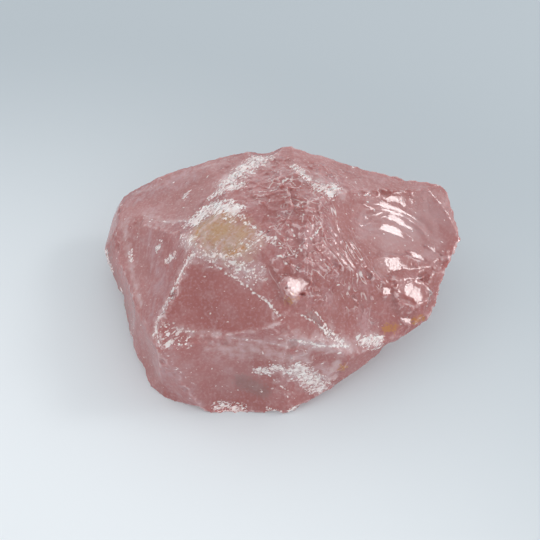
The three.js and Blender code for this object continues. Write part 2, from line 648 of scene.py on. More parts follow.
TRACES = {
    # White cracks.
    (Mark.CRACK, Side.TOP): (
        Trace(((-0.22, -0.11), (-0.24, -0.14), (-0.25, -0.16), (-0.27, -0.20)), 1.0 * MM),
        Trace(((-0.27, -0.20), (-0.30, -0.29), (-0.31, -0.32), (-0.30, -0.38)), 0.9 * MM, 0.9),
        Trace(((-0.22, -0.11), (-0.17, -0.13), (-0.13, -0.17)), 0.8 * MM, 0.8),
        Trace(((-0.13, -0.17), (-0.08, -0.22), (-0.03, -0.28), (0.00, -0.34)), 1.0 * MM, 0.9),
        Trace(((0.02, 0.26), (-0.02, 0.18), (-0.05, 0.18)), 0.8 * MM, 0.9),
        Trace(((0.02, 0.26), (0.06, 0.19)), 0.7 * MM, 0.8),
        Trace(((0.05, 0.11), (0.06, 0.05)), 0.8 * MM, 0.8),
        Trace(((0.10, 0.02), (0.08, -0.04)), 0.8 * MM, 0.9),
        Trace(((-0.03, -0.08), (0.02, -0.11), (0.07, -0.10)), 0.7 * MM, 0.8),
        Trace(((0.02, 0.00), (0.05, -0.07), (0.04, -0.13)), 0.7 * MM, 0.8),
        Trace(((0.00, -0.15), (0.05, -0.17)), 0.6 * MM, 0.8),
        Trace(((0.20, 0.24), (0.24, 0.27), (0.29, 0.27)), 0.6 * MM, 0.7),
        Trace(((-0.22, 0.08), (-0.30, 0.13), (-0.37, 0.21)), 1.0 * MM, 0.6),
        Trace(((0.05, -0.31), (0.09, -0.32), (0.14, -0.32)), 0.8 * MM, 0.9),
        Trace(((0.08, -0.28), (0.11, -0.30), (0.15, -0.35)), 0.8 * MM, 0.9),
        Trace(FRONT_EDGE, 0.8 * MM, 0.5),
    ),
    (Mark.CRACK, Side.FRONT): (
        Trace(((-0.05, 0.31), (-0.02, 0.27), (0.03, 0.18)), 0.7 * MM, 0.8),
        Trace(((-0.30, 0.55), (-0.26, 0.42), (-0.23, 0.28), (-0.20, 0.19)), 0.8 * MM, 0.6),
        Trace(RIGHT_EDGE, 1.3 * MM, 0.9),
    ),
    # Frost: crushed white quartz. Some small spots on the left are painted glints.
    (Mark.FROST_AND_GLINTS, Side.TOP): (
        Trace(BACK_BAND, 5.0 * MM),
        Trace(((-0.11, 0.22), (-0.14, 0.22), (-0.17, 0.21)), 3.2 * MM, 1.1),
        Trace(((-0.21, 0.07), (-0.19, 0.12), (-0.14, 0.09), (-0.12, 0.06)), 4.8 * MM, 1.5),
        Trace(((-0.12, 0.06), (-0.08, 0.00), (-0.04, -0.05)), 1.3 * MM, 0.8),
        Trace(((-0.05, -0.05), (-0.03, -0.07)), 2.4 * MM, 0.8),
        Trace(CROWN_EDGE, 4.4 * MM, 0.4),
        Trace(CROWN_FOOT, 4.0 * MM, 0.5),
        Trace(LEFT_CREASE, 2.0 * MM, 0.45),
        Trace(((0.04, 0.34), (0.07, 0.27)), 2.2 * MM),
        Trace(((0.09, 0.23), (0.13, 0.19), (0.15, 0.24)), 3.0 * MM),
        # Painted glint: a small bright spot where light is caught, not frost.
        Trace(((-0.28, -0.38), (-0.27, -0.37)), 1.2 * MM, 1.6),
        Trace(((-0.28, -0.34), (-0.23, -0.36)), 4.6 * MM, 0.4),
        Trace(((0.25, -0.28), (0.21, -0.30)), 3.0 * MM),
        # This spot and the four after it are painted glints, small bright spots, not frost.
        Trace(((-0.26, 0.27), (-0.25, 0.30)), 1.4 * MM),
        Trace(((-0.29, -0.05), (-0.27, -0.05)), 1.8 * MM),
        Trace(((-0.32, 0.02), (-0.31, 0.05)), 1.4 * MM),
        Trace(((-0.40, 0.08), (-0.40, 0.05)), 1.4 * MM),
        Trace(((-0.24, 0.06),), 2.0 * MM),
        Trace(((0.11, -0.32), (0.15, -0.34)), 2.2 * MM, 0.6),
    ),
    (Mark.FROST_AND_GLINTS, Side.FRONT): (
        Trace(((0.05, 0.34), (0.10, 0.17)), 4.2 * MM, 1.2),
        Trace(((-0.06, 0.32), (-0.01, 0.36), (0.04, 0.35)), 2.2 * MM),
        Trace(((-0.16, 0.04), (-0.10, 0.02)), 2.6 * MM),
        Trace(((-0.02, 0.03), (0.04, 0.04)), 2.0 * MM, 0.9),
        Trace(((-0.49, 0.27), (-0.47, 0.24)), 1.6 * MM, 1.1),
        Trace(((-0.44, 0.20), (-0.43, 0.16)), 1.3 * MM),
    ),
    # Veils: healed cracks just under the skin.
    (Mark.VEIL, Side.TOP): (
        Trace(CROWN_EDGE, 6 * MM, 0.9),
        Trace(CROWN_FOOT, 6 * MM, 0.8),
        Trace(LEFT_CREASE, 3.5 * MM, 0.6),
        Trace(FRONT_EDGE, 2.4 * MM, 0.7),
        Trace(((-0.08, -0.36), (0.00, -0.35)), 1.2 * MM, 0.5),
        Trace(((-0.02, -0.34), (0.03, -0.30)), 1.0 * MM, 0.4),
        Trace(((0.08, -0.30), (0.15, -0.30), (0.16, -0.34)), 3.2 * MM, 0.35),
        Trace(((0.19, -0.31), (0.25, -0.28)), 3.8 * MM, 0.7),
        Trace(((-0.42, 0.21), (-0.40, 0.02), (-0.36, -0.19)), 2.6 * MM, 0.6),
        Trace(((-0.41, 0.38), (-0.33, 0.40), (-0.24, 0.42), (-0.16, 0.43)), 3.6 * MM, 0.45),
        Trace(((-0.37, 0.21), (-0.30, 0.13), (-0.22, 0.08)), 3.4 * MM, 0.6),
        Trace(BACK_BAND, 6.5 * MM),
        Trace(((0.06, 0.30), (0.16, 0.22)), 6 * MM, 0.7),
    ),
    (Mark.VEIL, Side.FRONT): (
        Trace(RIGHT_EDGE, 5 * MM),
        Trace(((-0.16, 0.52), (-0.02, 0.50), (0.06, 0.42)), 6 * MM, 0.7),
        Trace(((0.14, 0.37), (0.12, 0.21), (0.14, 0.23)), 2.2 * MM),
        Trace(((0.03, 0.36), (0.10, 0.22)), 8 * MM, 0.8),
    ),
    # Haze: milky quartz under a clear skin. On the dish it is a painted sheen.
    (Mark.HAZE_AND_SHEEN, Side.TOP): (
        # Painted sheen over the dish.
        Trace(((0.30, 0.14), (0.39, 0.18), (0.42, 0.27)), 17 * MM, 0.85),
    ),
    (Mark.HAZE_AND_SHEEN, Side.FRONT): (
        Trace(((-0.24, 0.30), (-0.10, 0.28)), 16 * MM, 0.5),
    ),
    # Smooth faces, with nothing on them but their ripples.
    (Mark.SMOOTH, Side.TOP): (
        Trace(((0.22, 0.20), (0.30, 0.14), (0.40, 0.16)), 15 * MM, 2.0),
    ),
    # Paler, frosted faces.
    (Mark.PALE, Side.TOP): (
        Trace(((-0.34, 0.08), (-0.32, -0.05), (-0.32, -0.25)), 9 * MM, 0.6),
        Trace(((-0.41, 0.36), (-0.33, 0.38), (-0.24, 0.40)), 6 * MM, 1.3),
    ),
    (Mark.PALE, Side.FRONT): (
        Trace(((-0.30, 0.30), (-0.24, 0.12)), 7 * MM),
    ),
    # Shattered ground, crazed with small breaks.
    (Mark.ROUGH, Side.TOP): (
        Trace(((-0.05, 0.30), (0.04, 0.10), (0.06, -0.15)), 17 * MM, 1.3),
        Trace(((0.10, 0.32), (0.20, 0.30)), 8 * MM, 0.8),
        Trace(((0.22, -0.20), (0.24, -0.27)), 5 * MM, 0.6),
    ),
    (Mark.ROUGH, Side.FRONT): (
        Trace(((0.08, 0.5), (0.03, 0.3), (0.12, 0.2)), 9 * MM, 0.8),
    ),
    # The slope beside the crown, with long thin lines down it.
    (Mark.LINED, Side.TOP): (
        Trace(((0.11, 0.10), (0.16, -0.02), (0.20, -0.14)), 10 * MM, 1.2),
    ),
    # Stains.
    (Mark.OCHRE, Side.TOP): (
        Trace(((-0.17, -0.01), (-0.11, -0.06)), 10.5 * MM, 1.3),
    ),
    (Mark.RUST, Side.TOP): (
        Trace(((-0.14, 0.03),), 2.2 * MM, 0.6),
        Trace(((-0.21, -0.01), (-0.19, 0.03)), 1.6 * MM, 0.8),
        Trace(((-0.13, -0.12), (-0.09, -0.10)), 1.4 * MM),
        Trace(((0.02, -0.27),), 3.0 * MM, 0.7),
        Trace(((0.27, -0.24), (0.30, -0.23)), 2.4 * MM),
        Trace(((0.35, -0.20), (0.37, -0.18)), 2.0 * MM),
    ),
    (Mark.RUST, Side.FRONT): (
        Trace(((0.16, 0.31),), 2.6 * MM),
    ),
    (Mark.SMUDGE, Side.TOP): (
        Trace(((0.07, -0.30), (0.12, -0.33)), 2.0 * MM, 0.8),
        Trace(((-0.13, -0.37),), 1.2 * MM, 0.8),
        Trace(((-0.12, -0.16),), 1.0 * MM),
    ),
    (Mark.SMUDGE, Side.FRONT): (
        Trace(((-0.10, 0.22), (-0.05, 0.16)), 4.0 * MM, 1.2),
        Trace(((-0.48, 0.24), (-0.46, 0.20), (-0.41, 0.12)), 9 * MM, 0.7),
    ),
}


class Skin:
    """The stone's skin, which marks and glassy breaks are laid out on."""

    def __init__(self, stone: bpy.types.Object, block: Block) -> None:
        """Takes the skin of the stone as it is now.

        Args:
            stone: the stone.
            block: its box.
        """
        self.block = block
        self.tree = BVHTree.FromObject(stone, bpy.context.evaluated_depsgraph_get())

    def point(self, side: Side, place: Place) -> Vector:
        """Finds the point on the skin at a place seen from one side.

        Args:
            side: the side.
            place: the place.

        Returns:
            The point.

        Raises:
            ValueError: if the stone isn't there.
        """
        across, along = place
        if side is Side.TOP:
            start, ahead = self.block.place((across, along, 2.0)), Vector((0, 0, -1))
        else:
            start, ahead = self.block.place((across, -1.0, along)), Vector((0, 1, 0))
        hit = self.tree.ray_cast(start, ahead)[0]
        if hit is None:
            raise ValueError(f"the stone has no skin at {place}, seen from its {side.name.lower()}")
        return hit

    def nearest(self, point: Vector) -> Vector:
        """The point of the skin that is nearest to a point."""
        return self.tree.find_nearest(point)[0]


@dataclass
class EdgeChips:
    """Small chips knocked out of the sharp edges, all the way round the stone.

    Attributes:
        spacing: the distance between chips along an edge.
        smallest: the radius of the smallest chip.
        largest: the radius of the largest chip.
        bite: how deep a chip goes, as a share of its radius.
        seed: the number that their random sizes start from.
        sharp: the angle past which an edge gets chips.
        narrow: how much smaller a chip can be along one of its axes.
        wide: how much larger it can be.
    """

    spacing: float
    smallest: float
    largest: float
    bite: float
    seed: int
    sharp: float = math.radians(27)
    narrow: float = 0.7
    wide: float = 1.3

    def tree(self) -> bpy.types.NodeTree:
        """Writes the tree that knocks the chips out.

        Returns:
            The tree.
        """
        sizes = {
            "Spacing": self.spacing,
            "Smallest": self.smallest,
            "Largest": self.largest,
            "Bite": self.bite,
        }
        g = ShapeGraph("edge chips", sizes)
        stone = g.given("Geometry")
        points = self.points(g, g.hold(stone, "outward", g.node("GeometryNodeInputNormal"), "FLOAT_VECTOR"))
        share = g.one_random(self.seed)
        radius = share * share * (g.given("Largest") - g.given("Smallest")) + g.given("Smallest")
        sized = g.hold(points, "radius of chip", radius)
        radius = g.stored("radius of chip")
        lift = g.stored("outward", "FLOAT_VECTOR") * (radius * (1 - g.given("Bite")))
        chips = g.node("GeometryNodeInstanceOnPoints", None, {
            0: g.node("GeometryNodeSetPosition", None, {0: sized, "Offset": lift}),
            "Instance": g.node("GeometryNodeMeshIcoSphere", None, {"Radius": 1.0, "Subdivisions": 2}),
            "Rotation": g.node("FunctionNodeEulerToRotation", None, {0: g.three_random(0, math.tau, 5)}),
            "Scale": g.three_random(self.narrow, self.wide, 7) * radius,
        })
        cutting = {"operation": "DIFFERENCE", "solver": "MANIFOLD"}
        return g.finish(g.node("GeometryNodeMeshBoolean", cutting, {0: stone, 1: chips}))

    def points(self, g: ShapeGraph, stone: Value) -> Value:
        """Spaces points along the sharp edges.

        Args:
            g: the graph.
            stone: the stone.

        Returns:
            The points.
        """
        sharp = g.rise(g.node("GeometryNodeInputMeshEdgeAngle"), self.sharp, self.sharp + 0.01)
        edges = g.node("GeometryNodeMeshToCurve", None, {0: stone, "Selection": sharp})
        inputs = {0: edges, "Length": g.given("Spacing")}
        return g.node("GeometryNodeCurveToPoints", {"mode": "LENGTH"}, inputs)


CHIPS = (
    EdgeChips(spacing=4.4 * MM, smallest=1.2 * MM, largest=5.0 * MM, bite=0.17, seed=3),
    EdgeChips(spacing=2.4 * MM, smallest=0.6 * MM, largest=1.9 * MM, bite=0.25, seed=9),
)


@dataclass
class BrokenSurface:
    """The fine shape of the broken faces: swells, shells, flat breaks, ripples and hackles.

    Attributes:
        swell: the height of the slow swells on every face.
        swell_length: how long those are.
        shell: the size of the small shell-shaped breaks in rough places.
        finer: the size of the finer ones, as a share of that.
        fine_on_rough: how much more of the finer ones there is in rough places.
        fine_shells: how much of the finer shells there is everywhere.
        fine_breaks: how much of the finer flat breaks there is everywhere.
        hollow: how deep the shells are, as a share of their size.
        slope: how steeply the flat breaks among them tilt.
        groove: how deep a crack is sunk.
        ground_clear: the height up to which the foot stays nearly as it is.
        wander: how far ripples and hackles stray from their course.
        wander_length: the length of their bends.
    """

    swell: float = 0.4 * MM
    swell_length: float = 22 * MM
    shell: float = 6.5 * MM
    finer: float = 0.42
    fine_on_rough: float = 0.8
    fine_shells: float = 0.1
    fine_breaks: float = 0.15
    hollow: float = 0.16
    slope: float = 0.11
    groove: float = 0.18 * MM
    ground_clear: float = 2 * MM
    wander: float = 0.7 * MM
    wander_length: float = 12 * MM

    def tree(
        self, block: Block, ripples: tuple[Ripple, ...], hackles: tuple[Hackles, ...]
    ) -> bpy.types.NodeTree:
        """Writes the tree that moves the surface.

        Args:
            block: the stone's box.
            ripples: the shell ripples.
            hackles: the ridges that run across them.

        Returns:
            The tree.
        """
        sizes = {"Swell": self.swell, "Hollow": self.hollow, "Slope": self.slope, "Groove": self.groove}
        g = ShapeGraph("broken surface", sizes)
        at = g.node("GeometryNodeInputPosition")
        height = self.broken(g, at) - g.stored(Mark.CRACK.value) * g.given("Groove")
        for ripple in ripples:
            height = height + self.rippled(g, at, block, ripple)
        for ridges in hackles:
            height = height + self.hackled(g, at, block, ridges)
        up = g.node("ShaderNodeSeparateXYZ", None, {0: at}, "Z")
        height = height * g.rise(up, 0.0, self.ground_clear)
        moved = self.above_ground(g, at + g.node("GeometryNodeInputNormal") * height)
        shaped = g.node("GeometryNodeSetPosition", None, {0: g.given("Geometry"), "Position": moved})
        return g.finish(g.node("GeometryNodeSetShadeSmooth", None, {0: shaped, "Shade Smooth": True}))

    def broken(self, g: ShapeGraph, at: Value) -> Value:
        """The height of the swells, the shells and the flat breaks.

        Args:
            g: the graph.
            at: where it is read.

        Returns:
            The height.
        """
        rough = g.stored(Mark.ROUGH.value)
        uneven = g.rise(g.stored(Mark.SMOOTH.value), 1.0, 0.0)
        fine = self.shell * self.finer
        fine_rough = rough * self.fine_on_rough
        shells = self.shells(g, at, self.shell) * rough
        shells = shells + self.shells(g, at, fine) * (fine_rough + self.fine_shells)
        breaks = g.tilts(at, self.shell) * rough + g.tilts(at, fine) * (fine_rough + self.fine_breaks)
        swells = (g.noise(at, self.swell_length, 3) - 0.5) * (g.given("Swell") * 2)
        return swells + (shells * g.given("Hollow") + breaks * g.given("Slope")) * uneven

    def above_ground(self, g: ShapeGraph, at: Value) -> Value:
        """The position, lifted to the ground where it is below it."""
        split = g.node("ShaderNodeSeparateXYZ", None, {0: at}).socket.node.outputs
        x, y, z = (Value(g, socket) for socket in split)
        return g.node("ShaderNodeCombineXYZ", None, {0: x, 1: y, 2: g.largest(z, 0.0)})

    def shells(self, g: ShapeGraph, at: Value, size: float) -> Value:
        """Shallow bowls side by side, which meet in sharp ridges.

        Args:
            g: the graph.
            at: where it is read.
            size: the length of a bowl.

        Returns:
            The height, for bowls as deep as they are wide.
        """
        distance = g.cells(g.stir(at, size * 1.5, size * 0.2), size)["Distance"]
        return (distance * distance - 0.3) * size

    def sector(self, g: ShapeGraph, away: Value, distance: Value, made: Ripple | Hackles) -> Value:
        """Where a set of ripples or hackles lies, from 0 outside it to 1.

        Args:
            g: the graph.
            away: the position from its source.
            distance: the length of that.
            made: the ripples or hackles.

        Returns:
            The share.
        """
        aim = tuple(Vector(made.towards).normalized())
        facing = g.rise(g.dot(away, aim) / distance, made.spread, (1 + made.spread) / 2)
        soft = (made.end - made.start) * 0.3
        begun = g.rise(distance, made.start - soft, made.start)
        return facing * (begun * g.rise(distance, made.end, made.end - soft))

    def rippled(self, g: ShapeGraph, at: Value, block: Block, ripple: Ripple) -> Value:
        """The height of one set of shell ripples.

        Args:
            g: the graph.
            at: where it is read.
            block: the stone's box.
            ripple: the ripples.

        Returns:
            The height.
        """
        away = g.stir(at, self.wander_length, self.wander) - tuple(block.place(ripple.source))
        distance = g.length(away)
        wave = 1 - 2 * abs(g.sine(distance * (math.pi / ripple.spacing)))
        patchy = g.rise(g.noise(at, 8 * MM, 1), 0.35, 0.6)
        return wave * self.sector(g, away, distance, ripple) * (patchy * 0.7 + 0.3) * ripple.height

    def hackled(self, g: ShapeGraph, at: Value, block: Block, ridges: Hackles) -> Value:
        """The height of one set of hackles.

        Args:
            g: the graph.
            at: where it is read.
            block: the stone's box.
            ridges: the hackles.

        Returns:
            The height.
        """
        away = g.stir(at, self.wander_length, self.wander) - tuple(block.place(ridges.source))
        distance = g.length(away)
        spokes = g.noise(away / distance * ridges.number + at * 60, 1.0, 2.0) - 0.5
        patchy = g.rise(g.noise(at, 7 * MM, 1), 0.35, 0.6)
        return spokes * self.sector(g, away, distance, ridges) * (patchy * 0.8 + 0.2) * (2 * ridges.height)


@dataclass
class GlassyBreaks:
    """The small glassy breaks, cut into the rough ones, which all catch the key light.

    Attributes:
        eye: where they are looked at from.
        key: where the key light hangs.
        ball: the radius that each is hollowed to.
        border: the share of its width over which a break meets the ground round it.
        stray: how far its outline strays.
    """

    eye: Vector
    key: Vector
    ball: float = 45 * MM
    border: float = 0.3
    stray: float = 0.5 * MM

    def facing(self, point: Vector) -> Vector:
        """The way that a break at a point looks: half way between the eye and the key light."""
        return ((self.eye - point).normalized() + (self.key - point).normalized()).normalized()

    def tree(self, skin: Skin, facets: tuple[Facet, ...]) -> bpy.types.NodeTree:
        """Writes the tree that shapes the breaks.

        Args:
            skin: the stone's skin.
            facets: the breaks.

        Returns:
            The tree.
        """
        g = ShapeGraph("glassy breaks", {"Ball": self.ball})
        at = g.node("GeometryNodeInputPosition")
        straying = g.stir(at, 2.5 * MM, self.stray)
        moved = at
        glassy: Any = 0.0
        for facet in facets:
            move, inside = self.shift(g, at, straying, skin, facet)
            moved = moved + move
            glassy = g.largest(glassy, inside)
        held = g.hold(g.given("Geometry"), GLASSY, glassy)
        return g.finish(g.node("GeometryNodeSetPosition", None, {0: held, "Position": moved}))

    def shift(
        self, g: ShapeGraph, at: Value, straying: Value, skin: Skin, facet: Facet
    ) -> tuple[Value, Value]:
        """How far each point moves to lie on one break.

        Args:
            g: the graph.
            at: the position.
            straying: the position, pushed about a little.
            skin: the stone's skin.
            facet: the break.

        Returns:
            The move, and how much of the point is on the break.
        """
        start, end = (skin.point(Side.TOP, place) for place in (facet.start, facet.end))
        middle = skin.nearest((start + end) / 2)
        out = self.facing(middle)
        span = end - start
        across = out.cross(span).normalized()
        half = span.length / 2
        away = straying - tuple(middle)
        far = g.dot(away, tuple(across.cross(out))) / half
        aside = g.dot(away, tuple(across)) / (facet.width / 2)
        aside = (aside + far * far * facet.bow) * (far * facet.taper + 1)
        outline = g.rise(abs(aside) + far * far * far * far, 1 + self.border, 1 - self.border)
        level = g.dot(at - tuple(middle), tuple(out))
        inside = outline * g.rise(abs(level), half + facet.width, half)
        from_middle = far * far * half ** 2 + aside * aside * (facet.width / 2) ** 2
        bowl = from_middle / (g.given("Ball") * 2)
        return (bowl - level) * inside * tuple(out), inside


@dataclass
class EdgeWearAndRimHighlight:
    """Finds the edges that stand out of the stone, where it is bruised and pale, the pale partly a painted
    highlight along the rims.

    Attributes:
        steps: how many times the shape is smoothed to find them.
    """

    steps: int = 5

    def tree(self) -> bpy.types.NodeTree:
        """Writes the tree that stores how far each point stands out.

        Returns:
            The tree.
        """
        g = ShapeGraph("edge wear and rim highlight", {})
        at = g.node("GeometryNodeInputPosition")
        inputs = {"Value": at, "Iterations": self.steps}
        smoothed = g.node("GeometryNodeBlurAttribute", {"data_type": "FLOAT_VECTOR"}, inputs)
        standing = g.dot(at - smoothed, g.node("GeometryNodeInputNormal"))
        return g.finish(g.hold(g.given("Geometry"), WEAR_AND_RIM_HIGHLIGHT, standing))


# ---------------------------------------------------------------- finishes


@dataclass(frozen=True)
class Patterns:
    """The noises that the colours of the stone share.

    Attributes:
        wisps: soft clouds.
        streaks: clouds drawn out into streaks.
        fine: the finest grain.
        grain: a coarser one.
    """

    wisps: Value
    streaks: Value
    fine: Value
    grain: Value


@dataclass(frozen=True)
class RoseQuartz:
    """Milky pink quartz: glassy where it broke clean, frosted and white where it is shattered.

    Attributes:
        deep: the colour of the clearest, reddest quartz.
        rose: the colour of most of the stone.
        milky: the colour of its cloudy parts.
        lavender: the colour of its frosted faces.
        haze_and_sheen: the colour of the cloud under its clear skin, and of the painted sheen on the dish.
        veil: the colour of the veils of healed cracks, and of the pale on the edges that stand out, which
            is partly a painted rim highlight.
        ice: the white of frost and cracks, and of the painted glints.
        ochre: the colour of the earthy stain.
        sand: the colour of its paler parts.
        rust: the colour of the iron stains.
        smoke: the colour of the grey smudge.
        scatter: how far light travels inside, by colour.
        reach: the distance that those are shares of.
        milkiness: how much of the light travels inside.
        refraction: how strongly it bends light.
        polish: how rough its clean breaks are.
        grain_way: the way in which the frost and the earthy stain are drawn out.
        streak_way: the way in which its cloudy streaks run.
        line_way: the way in which the lines beside the crown run.
        glass_way: the way in which the fine lines on the glassy breaks run.
    """

    deep: Colour = (0.33, 0.103, 0.094, 1.0)
    rose: Colour = (0.39, 0.145, 0.136, 1.0)
    milky: Colour = (0.52, 0.32, 0.33, 1.0)
    lavender: Colour = (0.42, 0.245, 0.26, 1.0)
    haze_and_sheen: Colour = (0.44, 0.255, 0.255, 1.0)
    veil: Colour = (0.64, 0.50, 0.50, 1.0)
    ice: Colour = (0.86, 0.80, 0.78, 1.0)
    ochre: Colour = (0.50, 0.33, 0.19, 1.0)
    sand: Colour = (0.50, 0.35, 0.27, 1.0)
    rust: Colour = (0.45, 0.19, 0.05, 1.0)
    smoke: Colour = (0.20, 0.13, 0.12, 1.0)
    scatter: tuple[float, float, float] = (1.0, 0.45, 0.4)
    reach: float = 2.5 * MM
    milkiness: float = 0.6
    refraction: float = 1.54
    polish: float = 0.09
    grain_way: Way = (-0.65, -0.75, 0.1)
    streak_way: Way = (0, 0.8, 0.6)
    line_way: Way = (0.47, -0.73, -0.5)
    glass_way: Way = (-0.3, -0.9, -0.3)

    def material(self) -> bpy.types.Material:
        """Builds the material.

        Returns:
            The material.
        """
        made = bpy.data.materials.new("rose quartz")
        made.use_nodes = True
        g = Graph(made.node_tree)
        at = g.node("ShaderNodeTexCoord", None, None, "Object")
        ice = self.ice_mask(g, at)
        frosted = g.rise(g.attribute(Mark.PALE.value), 0.0, 0.6) * 0.14
        surface = g.node("ShaderNodeBsdfPrincipled", {"subsurface_method": "RANDOM_WALK"}, {
            "Base Color": self.colour(g, at, ice),
            "Roughness": ice * 0.35 + frosted + self.polish,
            "IOR": self.refraction,
            "Subsurface Weight": self.milkiness,
            "Subsurface Radius": self.scatter,
            "Subsurface Scale": self.reach,
            "Normal": self.relief(g, at, ice),
        })
        g.node("ShaderNodeOutputMaterial", None, {"Surface": surface})
        return made

    def level(self, g: Graph, kind: Mark, grain: Value, uneven: float) -> Value:
        """How strong one kind of mark is, with an uneven edge.

        Args:
            g: the graph.
            kind: the kind of mark.
            grain: the noise that makes it uneven.
            uneven: how uneven it is.

        Returns:
            The strength.
        """
        held = g.attribute(kind.value)
        return (held + (grain - 0.5) * uneven) * g.rise(held, 0.0, 0.15)

    def shards(self, g: Graph, at: Value, level: Value, size: float) -> Value:
        """Angular fragments of varied whiteness, more of them where a level is high.

        Args:
            g: the graph.
            at: the position.
            level: from 0 for none to 1 for all.
            size: the length of a fragment.

        Returns:
            The mask, from 0 to 1.
        """
        cell = g.cells(g.stir(at, 3 * size, 0.4 * size), size)
        pick, tone, _ = self.parts(g, cell["Color"])
        return g.rise(level - pick, 0.0, 0.12) * (tone * 0.65 + 0.35)

    def parts(self, g: Graph, colour: Value) -> tuple[Value, ...]:
        """The three numbers that a colour is made of."""
        made = g.node("ShaderNodeSeparateColor", None, {0: colour}).socket.node
        return tuple(Value(g, socket) for socket in made.outputs)

    def ice_mask(self, g: Graph, at: Value) -> Value:
        """Where the stone is white: cracks, frost, strokes and flecks, with painted glints among the flecks
        and the frost, and painted highlight specks on the edges that stand out.

        Args:
            g: the graph.
            at: the position.

        Returns:
            The mask, from 0 to 1.
        """
        rough = g.rise(g.attribute(Mark.ROUGH.value), 0.1, 0.9) * (1 - g.attribute(GLASSY))
        wear_and_rim_highlight = g.rise(g.attribute(WEAR_AND_RIM_HIGHLIGHT), 0.03 * MM, 0.12 * MM)
        crack = self.level(g, Mark.CRACK, g.noise(at, 0.8 * MM, 4), 2.4)
        return g.largest(
            g.rise(crack, 0.5, 1.0) * 0.85,
            self.crushed(g, at),
            g.largest(self.strokes(g, at), self.arcs(g, at)) * rough,
            self.drawn_lines(g, at),
            # White specks in rough places, partly painted glints.
            self.flecks_and_glints(g, at, 2.4 * MM, rough * 0.16 - 0.88),
            # Bright specks on the edges that stand out: bruising and painted highlight specks.
            self.flecks_and_glints(g, at, 1.1 * MM, wear_and_rim_highlight * 0.2 - 0.93),
        )

    def crushed(self, g: Graph, at: Value) -> Value:
        """Crushed white quartz, in coarse and fine fragments, with painted glints among the small spots.

        Args:
            g: the graph.
            at: the position.

        Returns:
            The mask, from 0 to 1.
        """
        flow = g.drawn_out(at, self.grain_way, 2.2)
        # The frost level also holds the painted glints.
        frost_and_glints = self.level(g, Mark.FROST_AND_GLINTS, g.noise(at, 1.0 * MM, 4), 1.0)
        coarse = self.shards(g, flow, frost_and_glints * 0.5, 0.8 * MM)
        return g.largest(coarse, self.shards(g, flow, frost_and_glints * 0.75, 0.36 * MM))

    def drawn_lines(self, g: Graph, at: Value) -> Value:
        """Long thin lines down the slope beside the crown.

        Args:
            g: the graph.
            at: the position.

        Returns:
            The mask, from 0 to 1.
        """
        along = g.drawn_out(g.stir(at, 8 * MM, 0.5 * MM), self.line_way, 7)
        lines = g.threads(along, 1.5 * MM, 0.045) * g.rise(g.noise(at, 3.5 * MM, 3), 0.46, 0.62)
        return lines * g.rise(g.attribute(Mark.LINED.value), 0.0, 0.7) * 0.6

    def strokes(self, g: Graph, at: Value) -> Value:
        """Thin broken lines, where small breaks meet.

        Args:
            g: the graph.
            at: the position.

        Returns:
            The mask, from 0 to 1.
        """
        sets = ((10 * MM, 0.012, 5.0 * MM, 0.46), (5.0 * MM, 0.018, 2.6 * MM, 0.53))
        lines: Any = 0.0
        for size, width, length, least in sets:
            edge = g.cells(g.stir(at, size, size * 0.12), size, "DISTANCE_TO_EDGE")["Distance"]
            shown = g.rise(g.noise(at, length, 3), least, least + 0.14)
            lines = g.largest(lines, g.rise(edge, width * 1.6, width * 0.4) * shown)
        return lines * 0.42

    def arcs(self, g: Graph, at: Value) -> Value:
        """Groups of fine curved lines, each group round its own point.

        Args:
            g: the graph.
            at: the position.

        Returns:
            The mask, from 0 to 1.
        """
        cell = g.cells(g.stir(at, 7 * MM, 1.0 * MM), 7 * MM)
        chosen = g.rise(self.parts(g, cell["Color"])[0], 0.45, 0.5)
        wave = abs(g.sine(cell["Distance"] * 18))
        shown = g.rise(g.noise(at, 2.6 * MM, 3), 0.5, 0.64) * g.rise(cell["Distance"], 0.2, 0.35)
        return g.rise(wave, 0.36, 0.1) * shown * chosen * 0.35

    def flecks_and_glints(self, g: Graph, at: Value, size: float, share: Value) -> Value:
        """Short bright flecks: white specks, partly painted glints of light on tiny breaks.

        Args:
            g: the graph.
            at: the position.
            size: about how far apart they can be.
            share: minus one for none, up to nought for one in every cell.

        Returns:
            The mask, from 0 to 1.
        """
        cell = g.cells(g.stir(at, size, size * 0.3) * (1.0, 1.7, 1.5), size)
        pick, tone, _ = self.parts(g, cell["Color"])
        return g.rise(cell["Distance"], 0.24, 0.10) * g.rise(pick + share, 0.0, 0.02) * (tone * 0.6 + 0.35)

    def colour(self, g: Graph, at: Value, ice: Value) -> Value:
        """The colour over the stone.

        Args:
            g: the graph.
            at: the position.
            ice: where it is white.

        Returns:
            The colour.
        """
        patterns = Patterns(
            wisps=g.noise(g.stir(at, 9 * MM, 2.5 * MM), 7 * MM, 8),
            streaks=g.noise(g.drawn_out(g.stir(at, 12 * MM, 1.5 * MM), self.streak_way, 6), 1.4 * MM, 6),
            fine=g.noise(at, 0.8 * MM, 5),
            grain=g.noise(at, 2.2 * MM, 6),
        )
        colour = self.clouded(g, at, patterns)
        colour = self.veiled(g, colour, patterns)
        colour = self.stained(g, at, colour, patterns)
        # Paler on the edges that stand out: bruising, and a painted highlight along the rims.
        wear_and_rim_highlight = g.rise(g.attribute(WEAR_AND_RIM_HIGHLIGHT), 0.02 * MM, 0.12 * MM) * g.rise(patterns.grain, 0.4, 0.6)
        colour = g.blend(wear_and_rim_highlight * 0.6, colour, self.veil)
        return g.blend(ice, colour, self.ice)

